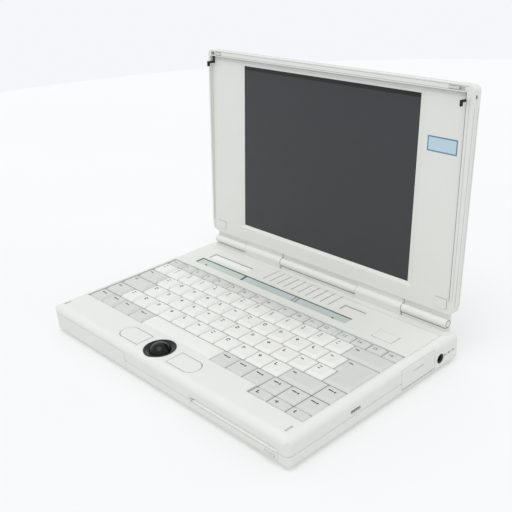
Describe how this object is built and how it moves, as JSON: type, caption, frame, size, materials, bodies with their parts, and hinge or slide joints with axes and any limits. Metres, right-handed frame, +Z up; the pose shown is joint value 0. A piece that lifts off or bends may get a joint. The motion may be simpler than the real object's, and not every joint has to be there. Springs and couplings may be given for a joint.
{
  "type": "notebook computer",
  "caption": "Off-white notebook computer with its lid open: keyboard, trackball with two buttons, status strip, slide-out battery, diskette slot and latched screen lid.",
  "frame": {"origin": "on the table, at the middle of the whole open computer's footprint", "axes": "+X along the width to the user's right, +Y to the back, +Z up"},
  "size_m": [0.303, 0.2144, 0.2184],
  "materials": {
    "casing": "satin",
    "light_key": "satin",
    "grey_key": "satin",
    "black_plastic": "gloss",
    "ball": "gloss",
    "screen": "satin",
    "status_glass": "gloss",
    "rubber": "matte",
    "steel": "brushed",
    "board": "satin",
    "chip": "matte",
    "aluminium": "satin",
    "cell": "satin",
    "lamp": "gloss",
    "dark_grey": "satin"
  },
  "bodies": {
    "base": {"top_cover": "casing", "bottom_case": "casing", "rubber_feet": "rubber", "case_screws": "steel", "diskette_drive": "steel", "diskette_bezel": "casing", "hard_drive": "aluminium", "main_board": "board", "processor_heat_sink": "aluminium", "memory_board": "board", "speaker": "chip", "rear_ports": "steel", "power_socket": "chip", "lock_plate": "steel", "side_connector": "chip", "status_display": "status_glass", "switches": "chip", "trackball_ring": "black_plastic", "trackball_cup": "chip", "button_boards": "board", "keyboard_tray": "steel", "left_hinge_bracket": "steel", "right_hinge_bracket": "steel", "left_hinge_cover": "casing", "right_hinge_cover": "casing"},
    "lid": {"lid_bezel": "casing", "lid_back_cover": "casing", "display_panel": "screen", "lamp_tube": "lamp", "lamp_inverter": "board", "screw_caps": "casing", "lid_screws": "steel", "left_hinge_pin": "steel", "right_hinge_pin": "steel"},
    "battery": {"battery_pack": "casing", "battery_cells": "cell"},
    "eject_button": {"eject_button": "grey_key"},
    "port_door": {"port_door": "casing"},
    "power_button": {"power_button": "casing"},
    "left_button": {"left_button": "casing"},
    "right_button": {"right_button": "casing"},
    "trackball": {"trackball": "ball"},
    "pitch_roller": {"pitch_roller": "dark_grey"},
    "roll_roller": {"roll_roller": "dark_grey"},
    "left_latch_slider": {"left_latch_slider": "dark_grey"},
    "right_latch_slider": {"right_latch_slider": "dark_grey"},
    "left_hook": {"left_hook": "black_plastic"},
    "right_hook": {"right_hook": "black_plastic"},
    "function_keys": {"function_keys": "grey_key"},
    "number_keys": {"number_keys": "light_key"},
    "backspace_key": {"backspace_key": "grey_key"},
    "modifier_keys": {"modifier_keys": "grey_key"},
    "upper_letter_keys": {"upper_letter_keys": "light_key"},
    "enter_key": {"enter_key": "grey_key"},
    "home_letter_keys": {"home_letter_keys": "light_key"},
    "left_shift_key": {"left_shift_key": "grey_key"},
    "lower_letter_keys": {"lower_letter_keys": "light_key"},
    "right_shift_key": {"right_shift_key": "grey_key"},
    "space_bar": {"space_bar": "light_key"},
    "cursor_keys": {"cursor_keys": "grey_key"}
  },
  "joints": [
    {"name": "lid_hinge", "type": "hinge", "parent": "base", "child": "lid", "pos_m": [0, 0.08131, 0.031], "axis": [1, 0, 0], "range_deg": [-40, 95.9]},
    {"name": "left_latch_slide", "type": "slide", "parent": "lid", "child": "left_latch_slider", "axis": [-1, 0, 0], "range_m": [0, 0.005], "stiffness_N_per_m": 120, "springref_m": -0.001},
    {"name": "left_hook_slide", "type": "slide", "parent": "lid", "child": "left_hook", "axis": [0, 0.1028, 0.9947], "range_m": [0, 0.002], "stiffness_N_per_m": 60, "springref_m": -0.001},
    {"name": "right_latch_slide", "type": "slide", "parent": "lid", "child": "right_latch_slider", "axis": [1, 0, 0], "range_m": [0, 0.005], "stiffness_N_per_m": 120, "springref_m": -0.001},
    {"name": "right_hook_slide", "type": "slide", "parent": "lid", "child": "right_hook", "axis": [0, 0.1028, 0.9947], "range_m": [0, 0.002], "stiffness_N_per_m": 60, "springref_m": -0.001},
    {"name": "battery_slide", "type": "slide", "parent": "base", "child": "battery", "axis": [0, -1, 0], "range_m": [0, 0.08]},
    {"name": "eject_press", "type": "slide", "parent": "base", "child": "eject_button", "axis": [0, 1, 0], "range_m": [0, 0.0015], "stiffness_N_per_m": 400, "springref_m": -0.001},
    {"name": "port_door_hinge", "type": "hinge", "parent": "base", "child": "port_door", "pos_m": [0.1504, 0.03316, 0.0067], "axis": [0, 1, 0], "range_deg": [0, 90]},
    {"name": "power_button_press", "type": "slide", "parent": "base", "child": "power_button", "axis": [0, 0, -1], "range_m": [0, 0.001], "stiffness_N_per_m": 300, "springref_m": -0.001},
    {"name": "left_button_press", "type": "slide", "parent": "base", "child": "left_button", "axis": [0, 0, -1], "range_m": [0, 0.001], "stiffness_N_per_m": 300, "springref_m": -0.001},
    {"name": "right_button_press", "type": "slide", "parent": "base", "child": "right_button", "axis": [0, 0, -1], "range_m": [0, 0.001], "stiffness_N_per_m": 300, "springref_m": -0.001},
    {"name": "trackball_turn", "type": "hinge", "parent": "base", "child": "trackball", "pos_m": [-0.012, -0.08909, 0.0218], "axis": [1, 0, 0], "continuous": true},
    {"name": "pitch_roller_turn", "type": "hinge", "parent": "base", "child": "pitch_roller", "pos_m": [-0.012, -0.07804, 0.0218], "axis": [1, 0, 0], "continuous": true},
    {"name": "roll_roller_turn", "type": "hinge", "parent": "base", "child": "roll_roller", "pos_m": [-0.02305, -0.08909, 0.0218], "axis": [0, 1, 0], "continuous": true},
    {"name": "function_keys_press", "type": "slide", "parent": "base", "child": "function_keys", "axis": [0, 0, -1], "range_m": [0, 0.002], "stiffness_N_per_m": 250, "springref_m": -0.001},
    {"name": "number_keys_press", "type": "slide", "parent": "base", "child": "number_keys", "axis": [0, 0, -1], "range_m": [0, 0.002], "stiffness_N_per_m": 250, "springref_m": -0.001},
    {"name": "backspace_key_press", "type": "slide", "parent": "base", "child": "backspace_key", "axis": [0, 0, -1], "range_m": [0, 0.002], "stiffness_N_per_m": 250, "springref_m": -0.001},
    {"name": "modifier_keys_press", "type": "slide", "parent": "base", "child": "modifier_keys", "axis": [0, 0, -1], "range_m": [0, 0.002], "stiffness_N_per_m": 250, "springref_m": -0.001},
    {"name": "upper_letter_keys_press", "type": "slide", "parent": "base", "child": "upper_letter_keys", "axis": [0, 0, -1], "range_m": [0, 0.002], "stiffness_N_per_m": 250, "springref_m": -0.001},
    {"name": "enter_key_press", "type": "slide", "parent": "base", "child": "enter_key", "axis": [0, 0, -1], "range_m": [0, 0.002], "stiffness_N_per_m": 250, "springref_m": -0.001},
    {"name": "home_letter_keys_press", "type": "slide", "parent": "base", "child": "home_letter_keys", "axis": [0, 0, -1], "range_m": [0, 0.002], "stiffness_N_per_m": 250, "springref_m": -0.001},
    {"name": "left_shift_key_press", "type": "slide", "parent": "base", "child": "left_shift_key", "axis": [0, 0, -1], "range_m": [0, 0.002], "stiffness_N_per_m": 250, "springref_m": -0.001},
    {"name": "lower_letter_keys_press", "type": "slide", "parent": "base", "child": "lower_letter_keys", "axis": [0, 0, -1], "range_m": [0, 0.002], "stiffness_N_per_m": 250, "springref_m": -0.001},
    {"name": "right_shift_key_press", "type": "slide", "parent": "base", "child": "right_shift_key", "axis": [0, 0, -1], "range_m": [0, 0.002], "stiffness_N_per_m": 250, "springref_m": -0.001},
    {"name": "space_bar_press", "type": "slide", "parent": "base", "child": "space_bar", "axis": [0, 0, -1], "range_m": [0, 0.002], "stiffness_N_per_m": 200, "springref_m": -0.001},
    {"name": "cursor_keys_press", "type": "slide", "parent": "base", "child": "cursor_keys", "axis": [0, 0, -1], "range_m": [0, 0.002], "stiffness_N_per_m": 250, "springref_m": -0.001}
  ],
  "couplings": [
    {"joint": "left_hook_slide", "follows": "left_latch_slide", "ratio": 0.4},
    {"joint": "right_hook_slide", "follows": "right_latch_slide", "ratio": 0.4},
    {"joint": "pitch_roller_turn", "follows": "trackball_turn", "ratio": -6.3333}
  ]
}
